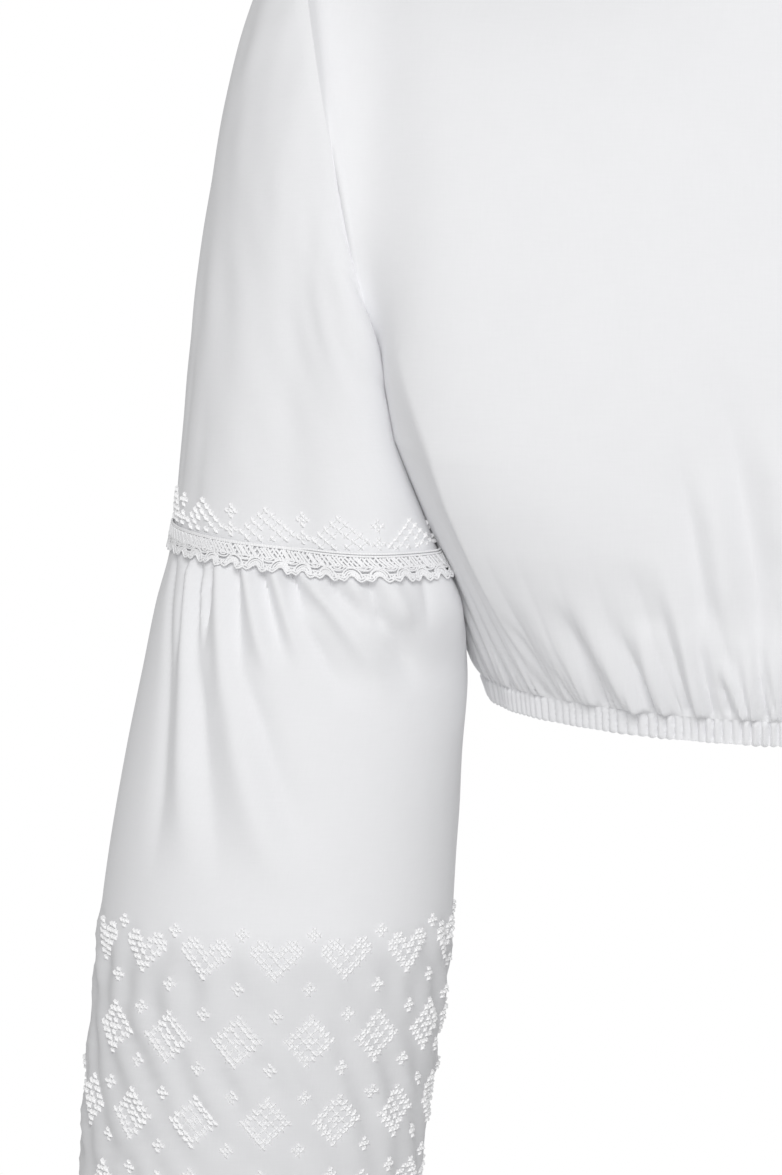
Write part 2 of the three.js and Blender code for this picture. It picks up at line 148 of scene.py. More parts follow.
def panel_top(across, towards):
    """The top edge of a panel: half the neckline, then the straight shoulder seam."""
    share = np.minimum(across / NECK_SHARE, 1) / 2
    neck = neck_points(NECKLINE, share if towards < 0 else 1 - share)
    along_seam = np.clip((across - NECK_SHARE) / (1 - NECK_SHARE), 0, 1)[..., None]
    return neck + (panel_edge(np.ones_like(across), towards) - neck) * along_seam


def level_points(rows, towards, across, at):
    """Levels of a panel before they are drawn up to the neckline: arcs of a squared circle."""
    y, z, turn, square = along(rows, at)
    turn = np.radians(np.minimum(turn, 90))

    def squared(angle):
        sine, cosine = np.sin(angle), np.cos(angle)
        reach = (np.abs(sine) ** square + np.maximum(cosine, 0) ** square) ** (-1 / square)
        return sine * reach, 1 - cosine * reach

    (share, fall), (whole, drop) = squared(across * turn), squared(turn)
    edge = panel_edge(at, towards)
    return np.stack([
        edge[..., 0] * share / whole,
        y + (edge[..., 1] - y) * (fall / drop),
        z + (edge[..., 2] - z) * across**2,
    ], -1)


def top_lift(rows, towards, across):
    """How far the top edge lies from the topmost level, also past the centre and the armhole."""
    inside = np.where(across < 0, -across, 1 - np.abs(1 - across))
    lift = panel_top(inside, towards) - level_points(rows, towards, inside, np.ones_like(inside))
    lift[..., 0] *= np.where(across < 0, -1, 1)
    return lift * np.where(across > 1, -1, 1)[..., None]


def panel_points(rows, towards, across, at):
    """Points of a panel's smooth form: across runs from -1 to 1, at from the casing to the top."""
    half = np.abs(across)
    points = level_points(rows, towards, half, at)
    down = np.clip((1 - at) / (1 - TOP_BLEND), 0, 1)
    steps = np.linspace(-1, 1, CORNER_STEPS)
    reach = CORNER_SPREAD * np.sqrt(down)
    lift = sum(top_lift(rows, towards, half + step * reach) for step in steps) / len(steps)
    rise, lean = (1 - down) ** TOP_RISE, (1 - down) ** TOP_LEAN
    points = points + lift * np.stack([rise, lean, rise], -1)
    points[..., 0] *= np.where(across < 0, -1, 1)
    return points


# ---- camera

CAMERA_AT = (0, -2.4, 0.05)
CAMERA_AIM = Vector((-0.177, 0, -0.311))
LENS, SENSOR = 175.2, 36


def add_object(name, data, at=(0, 0, 0), target=None):
    """An object in the scene, which may be aimed at a target."""
    thing = bpy.data.objects.new(name, data)
    thing.location = at
    if target:
        thing.rotation_euler = (target - Vector(at)).to_track_quat("-Z", "Y").to_euler()
    bpy.context.scene.collection.objects.link(thing)
    return thing


def add_camera():
    """In front of the neck, aimed between the front and the elbow on the wearer's right."""
    data = bpy.data.cameras.new("camera")
    data.lens, data.sensor_width = LENS, SENSOR
    bpy.context.scene.camera = add_object("camera", data, CAMERA_AT, CAMERA_AIM)


# ---- grids of points

def unit(vectors):
    return vectors / np.maximum(np.linalg.norm(vectors, axis=-1, keepdims=True), 1e-12)


def steps_across(points, ring):
    """The way on from each point of a row, also over the end of a ring."""
    return np.roll(points, -1, 1) - np.roll(points, 1, 1) if ring else np.gradient(points, axis=1)


def grid_normals(points, ring):
    """Outward normals of a grid whose rows go up and whose columns go round to the right."""
    return unit(np.cross(steps_across(points, ring), np.gradient(points, axis=0)))


def arc_lengths(points):
    """Length along each row of a grid, from its first column."""
    steps = np.linalg.norm(np.diff(points, axis=1), axis=2)
    return np.concatenate([np.zeros((len(points), 1)), np.cumsum(steps, axis=1)], axis=1)


def stand_out(points, relief, ring=True):
    """Points moved out along the normals of their grid."""
    return points + grid_normals(points, ring) * relief[..., None]


def ring_grid(ways, columns):
    """The way along a tube of cloth and the turn round it, for each point of its grid."""
    return np.meshgrid(ways, np.arange(columns) / columns, indexing="ij")


def close_ring(values):
    """A ring's grid with its first column again at the end."""
    return np.concatenate([values, values[:, :1]], 1)


def ring_places(points):
    """Length round a ring of points from its first column, with the closing column."""
    return arc_lengths(close_ring(points))


def smoothstep(low, high, x):
    t = np.clip((x - low) / (high - low), 0, 1)
    return t * t * (3 - 2 * t)


def fade(away, reach, power=1):
    """1 at a place, falling with the distance from it."""
    return np.exp(-((away / reach) ** power))


def roll(high, width, away):
    """A soft roll beside a seam, highest at its width from the seam."""
    return high * away / width * np.exp(1 - away / width)


def half_round(share):
    """1 in the middle of a strip and 0 at its edges, as a half circle."""
    return np.sqrt(np.clip(1 - (2 * share - 1) ** 2, 0, 1))


def quarter_round(away, reach):
    """0 at an edge and 1 at some distance from it, as a quarter circle."""
    return np.sqrt(1 - (1 - np.clip(away / reach, 0, 1)) ** 2)


def sample(grid, row, column):
    """Points between those of a grid, at fractional rows and columns."""
    j = np.clip(np.floor(row).astype(int), 0, grid.shape[0] - 2)
    i = np.floor(column).astype(int)
    v, u = (row - j)[..., None], (column - i)[..., None]
    i, k = i % grid.shape[1], (i + 1) % grid.shape[1]
    low = grid[j, i] * (1 - u) + grid[j, k] * u
    high = grid[j + 1, i] * (1 - u) + grid[j + 1, k] * u
    return low * (1 - v) + high * v


# ---- folds

RIDGE_POWER, TROUGH_POWER = 2, 1.5
WAVES, HEADING_SPREAD = 14, 14


def fold_relief(folds, s, z):
    """Height of folds that run from (s0, z0) to (s1, z1): ridges stand out, troughs sink in. rise
    and fall are the shares of a fold's length in which it comes and goes."""
    total = np.zeros_like(s)
    for s0, z0, s1, z1, bend, width0, width1, height, rise, fall in folds:
        t = (z - z0) / (z1 - z0)
        inside = np.clip(t, 0, 1)
        centre = s0 + (s1 - s0) * t + 4 * bend * inside * (1 - inside)
        width = width0 + (width1 - width0) * inside
        power = RIDGE_POWER if height > 0 else TROUGH_POWER
        ends = smoothstep(0, rise, t) * smoothstep(0, fall, 1 - t)
        total += height * ends * fade(np.abs(s - centre), width, power)
    return total


def gathers(s, pitch, seed):
    """Uneven gathers along a seam, 0 in the creases between them and up to 1 on their tops."""
    draw = np.random.default_rng(seed)
    a, b, c, d = draw.uniform(0, 2 * np.pi, 4)
    phase = s / pitch + 0.3 * np.sin(s / (1.9 * pitch) + a) + 0.35 * np.sin(s / (4.3 * pitch) + b)
    strength = 0.72 + 0.28 * np.sin(s / (1.3 * pitch) + c) * np.sin(s / (2.7 * pitch) + d)
    return strength * np.abs(np.sin(np.pi * phase)) ** 0.75


def wrinkles(s, z, heading, length, pitch, seed):
    """Small soft wrinkles that run roughly along a heading in degrees, between -1 and 1."""
    draw = np.random.default_rng(seed)
    total = np.zeros_like(s)
    for _ in range(WAVES):
        angle = math.radians(heading + draw.normal(0, HEADING_SPREAD))
        number = 2 * np.pi / (pitch * draw.uniform(0.7, 1.6))
        across = s * -math.sin(angle) + z * math.cos(angle)
        down = s * math.cos(angle) + z * math.sin(angle)
        sway = 2 * np.sin(down / length + draw.uniform(0, 6))
        total += np.sin(number * across + sway + draw.uniform(0, 6))
    return total / math.sqrt(WAVES)


# ---- meshes

def add_mesh(name, points, faces, material, uv, paint=None, crease=50):
    """An object from points in millimetres. uv has a place for each corner of each face, and paint
    a value for each point."""
    mesh = bpy.data.meshes.new(name)
    mesh.from_pydata((np.asarray(points) * MM).tolist(), [], np.asarray(faces).tolist())
    mesh.shade_smooth()
    mesh.set_sharp_from_angle(angle=math.radians(crease))
    mesh.uv_layers.new(name="cloth").data.foreach_set("uv", np.asarray(uv, np.float32).ravel())
    for label, values in (paint or {}).items():
        layer = mesh.attributes.new(label, "FLOAT", "POINT")
        layer.data.foreach_set("value", np.asarray(values, np.float32).ravel())
    mesh.materials.append(material)
    return add_object(name, mesh)


def corners(grid):
    """The four corners of each cell of a grid of numbers or places."""
    cells = np.stack([grid[:-1, :-1], grid[:-1, 1:], grid[1:, 1:], grid[1:, :-1]], 2)
    return cells.reshape(-1, *cells.shape[2:])


def add_shell(name, points, ring, thickness, uv, material, paint, mirror=False):
    """A closed thin shell under a grid of points. uv has one more column than a ring."""
    if mirror:
        points, uv = points[:, ::-1] * (-1, 1, 1), uv[:, ::-1] * (-1, 1)
        paint = {label: values[:, ::-1] for label, values in paint.items()}
    both = np.stack([points, points - grid_normals(points, ring) * thickness]).reshape(-1, 3)
    size = len(both) // 2
    number = np.arange(size).reshape(points.shape[:2])
    number = close_ring(number) if ring else number

    def rims(grid):
        steps = [(grid[0, :-1], grid[0, 1:]), (grid[-1, 1:], grid[-1, :-1])]
        if not ring:
            steps += [(grid[1:, 0], grid[:-1, 0]), (grid[:-1, -1], grid[1:, -1])]
        return [np.concatenate(ends) for ends in zip(*steps)]

    faces, places, (a, b), (p, q) = corners(number), corners(uv), rims(number), rims(uv)
    faces = np.concatenate([faces, faces[:, ::-1] + size, np.stack([a, a + size, b + size, b], -1)])
    places = np.concatenate([places, places[:, ::-1], np.stack([p, p, q, q], 1)])
    paint = {label: np.tile(values.ravel(), 2) for label, values in paint.items()}
    return add_mesh(name, both, faces, material, places, paint)


def place(piece, node=None):
    """A finished piece goes with the one body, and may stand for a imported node."""
    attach(piece, "root")
    if node:
        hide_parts(node)
    return piece


def cloth_places(s, z):
    """Places on the cloth for its weave, in centimetres along and up."""
    return np.stack([s, z], -1) / 10


def add_ring(node, points, shaped, up, layers, cotton, mirror=False, **paint):
    """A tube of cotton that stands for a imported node. Its weave follows its smooth points."""
    uv = cloth_places(ring_places(points), close_ring(up))
    paint = {label: np.ones(points.shape[:2]) * values for label, values in paint.items()}
    piece = add_shell(f"{node}_cloth", shaped, True, layers * CLOTH, uv, cotton, paint, mirror)
    return place(piece, node)


# ---- bodice

CLOTH = 0.35
# Gathers at the hem: fine and middling ones, which fan out as they rise, and the fullness under them.
GATHER_PITCH, FINE_FAN, FINE_HIGH, FINE_REACH = 3.9, 0.2, 2.8, 12
MIDDLE_PITCH, MIDDLE_FAN, MIDDLE_HIGH = 3.3 * GATHER_PITCH, 0.3, 3.6
MIDDLE_START, MIDDLE_REACH = 8, 42
FULL_HIGH, FULL_START, FULL_REACH = 1.8, 7, 30
HEM_SEAM = 0.8
FRONT_SEED, BACK_SEED = 3, 8
SEAM_ROLL, SEAM_ROLL_WIDTH, SEAM_FLAT = 0.4, 3.5, 12
# Where the front dips a little beside the armhole: from its seam, and above the hem.
DIP_AT, DIP_WIDTH, DIP_FROM, DIP_FULL = 32, 22, 120, 160
# A seam allowance makes the cloth double beside the armhole and whiter, partly as real double cloth and
# partly as painted light on its shaded turn; a weaker whitening for some way beyond it is painted light
# only.
ALLOWANCE, PAINTED_LIGHT_REACH, PAINTED_LIGHT = 15, 52, 0.65
PANEL_SPANS = ((0, 0.06, 14), (0.06, 0.25, 24), (0.25, 0.5, 36), (0.5, 1, 24))
FRONT_COLUMNS, BACK_COLUMNS = 440, 220

# Folds of the front on the wearer's right, in millimetres from the centre front and above the hem.
FRONT_FOLDS = (
    (-17.5, 18, -45, 168, 5, 5, 10, -4.6, 0.2, 0.55), (-8, 60, -17, 130, 1, 8, 9, 3, 0.3, 0.4),
    (-40, 30, -57, 126, 2, 5, 8, -3.8, 0.2, 0.5), (-33, 36, -44, 112, 2, 6, 7, 2.4, 0.3, 0.4),
    (-62, 32, -72, 70, 0, 8, 10, -1.8, 0.3, 0.5), (-71, 0, -99, 60, 0, 4.5, 9, 4.6, 0.05, 0.6),
    (-88, 0, -105, 54, 1, 2.4, 6, -3.6, 0.04, 0.6), (-64, 0, -80, 45, 0, 2.2, 4, -3.8, 0.04, 0.7),
    (-59.5, 0, -70, 44, 0, 3, 4, 3.2, 0.04, 0.6), (-48.5, 0, -62, 58, 0, 2.2, 5, -3.4, 0.04, 0.6),
    (-43, 0, -61, 74, 1.5, 3, 5, 3.4, 0.04, 0.6), (-38.5, 0, -48, 58, 0, 1.8, 4, -2.2, 0.04, 0.7),
    (-25.5, 0, -34, 29, 0, 2.2, 3, 3.2, 0.1, 0.4), (-30.5, 0, -36, 22, 0, 2.6, 3, -2.8, 0.2, 0.5),
    (-21.5, 0, -25, 42, 0, 2.4, 3, 2, 0.04, 0.6), (-16, 0, -21.5, 34, 0, 1.8, 3, -2.6, 0.04, 0.6),
    (-12, 0, -16.5, 42, 0, 3, 4, 2, 0.04, 0.6), (-6, 0, -9, 30, 0, 2, 3, -2, 0.04, 0.7),
    (-95, 0, -120, 62, 0, 4, 8, 2.2, 0.05, 0.6), (-113.5, 0, -131, 46, 0, 2.4, 4, -2.6, 0.04, 0.6),
    (-120, 0, -127, 40, 0, 2.4, 4, -2.4, 0.04, 0.6), (-104, 0, -114, 24, 0, 2, 3, -1.8, 0.04, 0.6),
    (-131, 0, -140, 22, 0, 2, 3, -1.8, 0.04, 0.6), (-144, 0, -152, 26, 0, 2.2, 4, -2, 0.04, 0.6),
)
# The crease along which the front turns to the side: from the centre front, above the hem, and how
# far it stands out.
TURN = (
    (-114, 0, 1), (-125, 20, 3), (-132, 37, 5), (-134, 49, 6.5), (-139.5, 68, 8), (-146.5, 88, 8.5),
    (-153.5, 109, 7.5), (-162.5, 127, 5), (-172, 146, 2), (-180, 165, 0),
)
TURN_INSIDE, TURN_OUTSIDE, TURN_POWER = 42, 10, 1.2
# How far the front of the armhole's seam lies ahead of the solids, how much more so in its lower
# half, and how far this reaches in. The cloth beside it rolls forward too.
SEAM_FORWARD, SEAM_MORE, SEAM_FORWARD_REACH = 16, 6, 14
ROLL_FORWARD, ROLL_REACH = 8, 11
# How a sleeve is pressed on the front: turns round the arm, rounds, and most and gap in millimetres.
PRESSED_FROM, PRESSED_TO, PRESS_ROUNDS, PRESS_MOST, PRESS_GAP = (0.24, 0.36), (0.5, 0.56), 3, 6, 0.25
RELAX_ROUNDS = 60


def spans(parts):
    """Values from 0 to 1, in spans with more or fewer of them."""
    return np.concatenate([np.linspace(a, b, n, endpoint=False) for a, b, n in parts] + [[1]])


def mirrored_folds(rows, shift, scale):
    """The other side's folds: alike, but not the same."""
    return [
        (shift - s0, z0, shift - s1, z1 * scale, -bend, *widths, high * scale, rise, fall)
        for s0, z0, s1, z1, bend, *widths, high, rise, fall in rows
    ]


def turn_relief(s, z, scale):
    """The crease between the front and each side, flat before it and steep behind it."""
    crease, up, stands = np.array(TURN, float).T
    beyond = np.abs(s) - np.interp(z, up, -crease)
    before = fade(np.maximum(-beyond, 0), TURN_INSIDE)
    behind = fade(np.maximum(beyond, 0), TURN_OUTSIDE, TURN_POWER)
    return scale * np.interp(z, up, stands) * before * behind


def seam_forward(turn):
    """The cloth's lead at the front of the armhole, by the turn round it from the shoulder."""
    more = SEAM_MORE * smoothstep(0.1, 0.24, turn) * (1 - smoothstep(0.38, 0.5, turn))
    return SEAM_FORWARD * (1 - (np.clip(turn, 0, 0.5) / 0.25 - 1) ** 4) + more


def snug(points, wall, share):
    """How far points may stand out along their normals before they lie against a wall of points."""
    free = np.zeros(points.shape[:2])
    for j, i in zip(*np.where(share > 0.02)):
        away = wall - points[j, i]
        free[j, i] = math.sqrt(np.min(np.einsum("ij,ij->i", away, away)))
    stand = np.clip(free - PRESS_GAP, 0, PRESS_MOST) * share
    for _ in range(3):
        stand[1:-1] = (stand[2:] + stand[:-2] + 2 * stand[1:-1]) / 4
        stand = (np.roll(stand, 1, 1) + np.roll(stand, -1, 1) + 2 * stand) / 4
    return stand


def relax_top(points, at):
    """Evens out the top of a panel, where the corner of the neck would show."""
    share = smoothstep(0.55, 0.8, at)[1:-1, 1:-1, None] * 0.5
    for _ in range(RELAX_ROUNDS):
        middle = (points[2:, 1:-1] + points[:-2, 1:-1] + points[1:-1, 2:] + points[1:-1, :-2]) / 4
        points[1:-1, 1:-1] += (middle - points[1:-1, 1:-1]) * share
    return points


def panel_relief(s, z, edge, folds, turn, dip, seed):
    """Folds, gathers and seams of a panel. s runs from its centre, z is the height above the hem,
    and edge is the distance from the nearest side edge."""
    above = np.maximum(z, 0)
    fine = gathers(s - FINE_FAN * above * np.sign(s), GATHER_PITCH, seed) - 0.5
    middle = gathers(s - MIDDLE_FAN * above * np.sign(s), MIDDLE_PITCH, seed + 1) - 0.5
    relief = fold_relief(folds, s, z) + turn_relief(s, z, turn)
    relief += FINE_HIGH * fine * fade(above, FINE_REACH)
    relief += MIDDLE_HIGH * middle * (1 - fade(above, MIDDLE_START)) * fade(above, MIDDLE_REACH, 2)
    relief += FULL_HIGH * (1 - fade(above, FULL_START)) * fade(above, FULL_REACH)
    slack = wrinkles(s, z, heading=100, length=60, pitch=34, seed=seed + 2)
    relief += 0.12 * slack * smoothstep(20, 90, above)
    relief -= dip * fade(edge - DIP_AT, DIP_WIDTH, 2) * smoothstep(DIP_FROM, DIP_FULL, above)
    relief *= smoothstep(0, SEAM_FLAT, edge)
    relief += roll(SEAM_ROLL, SEAM_ROLL_WIDTH, edge)
    return relief * (1 - fade(above, HEM_SEAM))


def panel_grid(rows, towards, columns, folds, turn, dip, seed):
    """A panel's points, its places on the cloth and what is painted on it."""
    at, across = np.meshgrid(spans(PANEL_SPANS), np.linspace(-1, 1, columns + 1) * -towards, indexing="ij")
    points = relax_top(panel_points(rows, towards, across, at), at)
    lengths = arc_lengths(points)
    s = lengths - lengths[:, [columns // 2]]
    edge = np.minimum(lengths, lengths[:, [-1]] - lengths)
    if towards < 0:
        by_height = smoothstep(0.4, 0.48, at) * (1 - smoothstep(0.6, 0.84, at))
        points[..., 1] -= seam_forward(armhole_turn(at)) * fade(edge, SEAM_FORWARD_REACH)
        points[..., 1] -= roll(ROLL_FORWARD, ROLL_REACH, edge) * by_height
    z = points[..., 2] - points[:1, :, 2]
    relief = panel_relief(s, z, edge, folds, turn, dip, seed) * (1 - smoothstep(0.97, 1, at))
    by_armhole = smoothstep(UNDERARM - 0.02, UNDERARM + 0.06, at) * (1 - 0.7 * smoothstep(0.5, 0.8, at))
    # Painted light: the allowance strip is whiter as double cloth and as painted light, and a weaker
    # painted light spreads further from the armhole over the front's shade.
    doubled = np.maximum(fade(edge, ALLOWANCE, 4), PAINTED_LIGHT * fade(edge, PAINTED_LIGHT_REACH, 2)) * by_armhole
    return stand_out(points, relief, False), cloth_places(s, z), {"doubled": doubled}


def add_bodice(cotton):
    """Front and back, and the part of the front that a sleeve lies against."""
    front_folds = [*FRONT_FOLDS, *mirrored_folds(FRONT_FOLDS, 4, 0.92)]
    back_folds = mirrored_folds(FRONT_FOLDS[1:], -7, 0.8)
    back_folds += mirrored_folds(back_folds, 5, 1.1)
    front = panel_grid(FRONT, -1, FRONT_COLUMNS, front_folds, turn=1, dip=4, seed=FRONT_SEED)
    back = panel_grid(BACK, 1, BACK_COLUMNS, back_folds, turn=0.6, dip=0, seed=BACK_SEED)
    pieces = [
        place(add_shell(f"{node}_cloth", points, False, CLOTH, uv, cotton, paint), node)
        for node, (points, uv, paint) in (("bodice_front", front), ("bodice_back", back))
    ]
    return *pieces, front[0][:, :FRONT_COLUMNS // 4].reshape(-1, 3)


# ---- hem casing

CASING_HEIGHT, CASING_DRAWN_IN, CASING_BULGE, CASING_RUCHE = 10.5, 0.024, 0.7, 2.8
CASING_TOP_ROUND, CASING_LOW_ROUND, CASING_SIDE = 0.15, 0.25, 0.02
CASING_COLUMNS, CASING_ROWS = 1200, 11
# How lively the ruches are, in a slow wave along the hem.
LIVELY, LIVELY_WAVE, LIVELY_AT, LIVELY_LENGTH = 0.95, 0.3, -35, 150


def add_casing(cotton):
    """Two layers of cloth over the elastic, in fine upright ruches."""
    down, turn = ring_grid(np.linspace(1, 0, CASING_ROWS + 1), CASING_COLUMNS)
    ahead = turn < 0.5
    quarter = np.where(ahead, turn * 4 - 1, 3 - turn * 4)
    panels = (level_points(rows, way, np.abs(quarter), 0 * turn) for rows, way in ((FRONT, -1), (BACK, 1)))
    points = np.where(ahead[..., None], *panels)
    points[..., 0] *= np.sign(quarter + 1e-9)
    points[..., :2] *= (1 - CASING_DRAWN_IN * down)[..., None]
    points[..., 2] -= CASING_HEIGHT * down
    s = ring_places(points)
    s = s[:, :-1] - np.where(ahead, *(s[:, [k * CASING_COLUMNS // 4]] for k in (1, 3)))
    tops = np.where(ahead, *(gathers(s, GATHER_PITCH, seed) for seed in (FRONT_SEED, BACK_SEED)))
    by_side = 1 - fade(1 - np.abs(quarter), CASING_SIDE, 2)
    full = quarter_round(down, CASING_TOP_ROUND) * quarter_round(1 - down, CASING_LOW_ROUND)
    lively = LIVELY + LIVELY_WAVE * np.cos(2 * np.pi * (s - LIVELY_AT) / LIVELY_LENGTH)
    relief = full * (CASING_BULGE + CASING_RUCHE * (tops - 0.7) * by_side * lively)
    shaped = stand_out(points, relief)
    shaped[..., 2] -= (tops - 0.5) * by_side * lively * smoothstep(0.6, 1, down)
    return add_ring("hem_casing", points, shaped, points[..., 2], 2, cotton, doubled=0.1)


# ---- sleeves

UPPER_SPANS = ((0, 0.03, 6), (0.03, 0.9, 46), (0.9, 1, 8))
LOWER_SPANS = ((0, 0.03, 8), (0.03, 0.3, 36), (0.3, 0.9, 44), (0.9, 1, 12))
UPPER_COLUMNS, LOWER_COLUMNS = 120, 360
# The upper sleeve's length, as it is told off from its head and from the lace.
HEAD_LENGTH, LACE_LENGTH = 270, 250
LACE_SEAM, CUFF_SEAM = -283.6, -622
ELBOW_TILT = 4
WORKED_FROM = -445
# Gathers of the lower sleeve: height, pitch in degrees round the arm, seed, reach and start.
ELBOW_GATHERS = (0.7, 9.5, 31, 16, 4)
CUFF_GATHERS = (3, 12, 41, 22, 5)
CUFF_FULLNESS = (4, 29, 43, 60, 25)

# Folds of the sleeves, by their angle round the arm from the outside and their height.
UPPER_FOLDS = (
    (40, -59, 20, -123, 2, 7, 9, 1, 0.3, 0.6), (24, -182, 17, -276, 0, 3.5, 3, -0.9, 0.5, 0.2),
    (40, -202, 36, -281, 1, 5, 4, -0.7, 0.6, 0.2), (128, -177, 150, -276, 0, 9, 7, 0.9, 0.4, 0.4),
)
LOWER_FOLDS = (
    (20, -288, 48, -425, 6.5, 2.2, 5.5, -2.2, 0.06, 0.3),
    (33, -288, 40, -340, 2.5, 2, 3.5, -2.4, 0.08, 0.5), (38, -290, 63, -425, 0, 2, 6.5, 3, 0.06, 0.4),
    (43, -288, 52, -338, 1, 1.9, 3.5, -3.2, 0.08, 0.5), (48, -318, 77, -432, 1, 3, 7.5, -3, 0.3, 0.4),
    (48, -294, 52, -328, 0.5, 1.5, 2, 1.6, 0.2, 0.4),
    (52.5, -288, 54.5, -332, 0.5, 1.5, 2.2, -2.2, 0.08, 0.5),
    (57, -289, 68, -356, 0, 3.4, 5, 3.8, 0.08, 0.35), (65, -334, 101, -434, -2.5, 4.6, 9, 4, 0.3, 0.4),
    (66, -288, 71.5, -345, 0, 1.9, 3.6, -2.6, 0.08, 0.4),
    (68.5, -326, 101, -415, 1.5, 3.6, 7, -3.4, 0.3, 0.4),
    (69.5, -289, 82.5, -341, 0, 2.8, 4.2, 4.2, 0.1, 0.4),
    (76.5, -288, 89, -334, 0, 2, 3.8, -3, 0.1, 0.5), (82, -289, 94, -336, 0, 3.2, 3.8, 4.4, 0.1, 0.5),
    (88.5, -289, 96, -312, 0, 1.7, 2.6, -3.4, 0.15, 0.5),
    (93.5, -290, 104, -309, 0, 2.5, 3, 2.4, 0.2, 0.5),
    (93, -310, 111, -352, 0, 3, 5.5, -2.8, 0.35, 0.5),
    (99, -292, 127, -352, 0, 2.8, 6.5, 3.4, 0.15, 0.5),
    (107, -288, 105.5, -304, 0, 2, 2.4, -3, 0.2, 0.4),
    (106, -297, 118, -316, 0, 3, 3.2, -2.8, 0.3, 0.4), (113, -289, 117, -306, 0, 2.8, 3, 2.8, 0.2, 0.4),
    (118, -288, 122, -320, -0.5, 2, 3, -3.8, 0.1, 0.3),
    (119, -306, 139, -346, 0, 2.8, 6, -3.6, 0.3, 0.5),
    (121.5, -289, 131, -320, 0, 2.6, 4, 3.6, 0.15, 0.5),
    (137, -288, 139, -322, 0, 2.4, 4, -2.8, 0.15, 0.5),
)


def elbow_rise(turn):
    """The elbow's seam lies higher on the outside of the arm than on its inside."""
    return ELBOW_TILT * np.cos(2 * np.pi * turn)


def sleeve_grid(rows, parts, columns):
    """Points of the wearer's right sleeve, their turn and their share of the way down."""
    at, turn = ring_grid(spans(parts)[::-1], columns)
    return sleeve_points(rows, turn, at) * (-1, 1, 1), turn, at


def folds_round(folds, step):
    """Folds, and like ones in two steps further round the arm."""
    more = [
        (s0 + step * k, z0 - 3 * k, s1 + step * k, z1 + 6 * k, bend, *widths, high * 0.9, rise, fall)
        for k in (1, 2) for s0, z0, s1, z1, bend, *widths, high, rise, fall in folds
    ]
    return [*folds, *(row for row in more if 150 < row[0] < 345)]


def press_on(wall, points, turn, share):
    """A sleeve with its inner side brought out until it lies against the front."""
    facing = smoothstep(*PRESSED_FROM, turn) * (1 - smoothstep(*PRESSED_TO, turn)) * share
    for _ in range(PRESS_ROUNDS):
        points = stand_out(points, snug(points, wall, facing))
    return points


def slack_round(points, **how):
    """Wrinkles in a ring of cloth."""
    return wrinkles(ring_places(points)[:, :-1], points[..., 2], **how)


def upper_sleeve(variant, wall):
    """The upper sleeve's smooth points, their relief and their paint."""
    points, turn, at = sleeve_grid(UPPER_SLEEVE, UPPER_SPANS, UPPER_COLUMNS)
    points[..., 1] -= seam_forward(turn) * (1 - smoothstep(0, 1, at))
    points[..., 2] += elbow_rise(turn) * smoothstep(0.75, 1, at)
    points = press_on(wall, points, turn, 1)
    relief = fold_relief(folds_round(UPPER_FOLDS, 140), turn * 360 + 3 * variant, points[..., 2])
    relief += 0.25 * slack_round(points, heading=95, length=60, pitch=30, seed=21 + variant)
    from_head, from_lace = at * HEAD_LENGTH, (1 - at) * LACE_LENGTH
    relief *= smoothstep(0, 12, from_head) * smoothstep(0, 8, from_lace)
    return points, relief + roll(SEAM_ROLL, SEAM_ROLL_WIDTH, from_head), {}


def lower_sleeve(variant, wall):
    """The same of the lower sleeve, painted where it is worked with rows of stitches; the cotton is
    darkened there as painted shade of its puckers.
    """
    points, turn, at = sleeve_grid(LOWER_SLEEVE, LOWER_SPANS, LOWER_COLUMNS)
    points[..., 2] += elbow_rise(turn) * (1 - smoothstep(0, 0.12, at))
    points = press_on(wall, points, turn, 1 - smoothstep(0.06, 0.18, at))
    z, degrees = points[..., 2], turn * 360
    below, above = LACE_SEAM + elbow_rise(turn) - z, z - CUFF_SEAM
    relief = fold_relief(folds_round(LOWER_FOLDS, 125), degrees + 4 * variant, z)
    for away, (high, pitch, seed, reach, start) in ((below, ELBOW_GATHERS), (above, CUFF_GATHERS)):
        tops = gathers(degrees, pitch, seed + variant) - 0.5
        relief += high * tops * fade(away, reach) * (1 - fade(away, start))
    high, pitch, seed, reach, start = CUFF_FULLNESS
    tops = gathers(degrees, pitch, seed + variant) - 0.5
    relief += high * tops * smoothstep(0, start, above) * fade(above, reach, 2)
    # Painted shade: the cotton darkens the cloth where it is worked, for the shade of its puckers.
    worked = 1 - smoothstep(WORKED_FROM - 12, WORKED_FROM + 8, z)
    puckers = slack_round(points, heading=-50, length=18, pitch=15, seed=51 + variant)
    relief += worked * puckers * smoothstep(6, 40, above)
    by_body = fade(turn - 0.5, 0.1, 2) * smoothstep(-430, -380, z)
    return points, relief * (1 - by_body), {"worked": worked}


# ---- cuffs and binding

CUFF_ROWS, CUFF_COLUMNS, CUFF_OUT, CUFF_IN = 14, 160, 0.9, 0.6
BINDING_ROWS, BINDING_COLUMNS, BINDING_OUT, BINDING_IN, BINDING_DEEP = 8, 280, 0.8, 0.4, 8


def add_cuff(cotton, side, mirror):
    """A narrow folded band that stands out between its pressed edges."""
    at, turn = ring_grid(np.linspace(1, 0, CUFF_ROWS + 1), CUFF_COLUMNS)
    points = sleeve_points(CUFF, turn, at) * (-1, 1, 1)
    full, slack = half_round(at), slack_round(points, heading=92, length=30, pitch=7, seed=61)
    shaped = stand_out(points, CUFF_OUT * full - CUFF_IN * (1 - full) + 0.25 * slack)
    return add_ring(f"cuff_{side}", points, shaped, points[..., 2], 3, cotton, mirror, doubled=0.6)


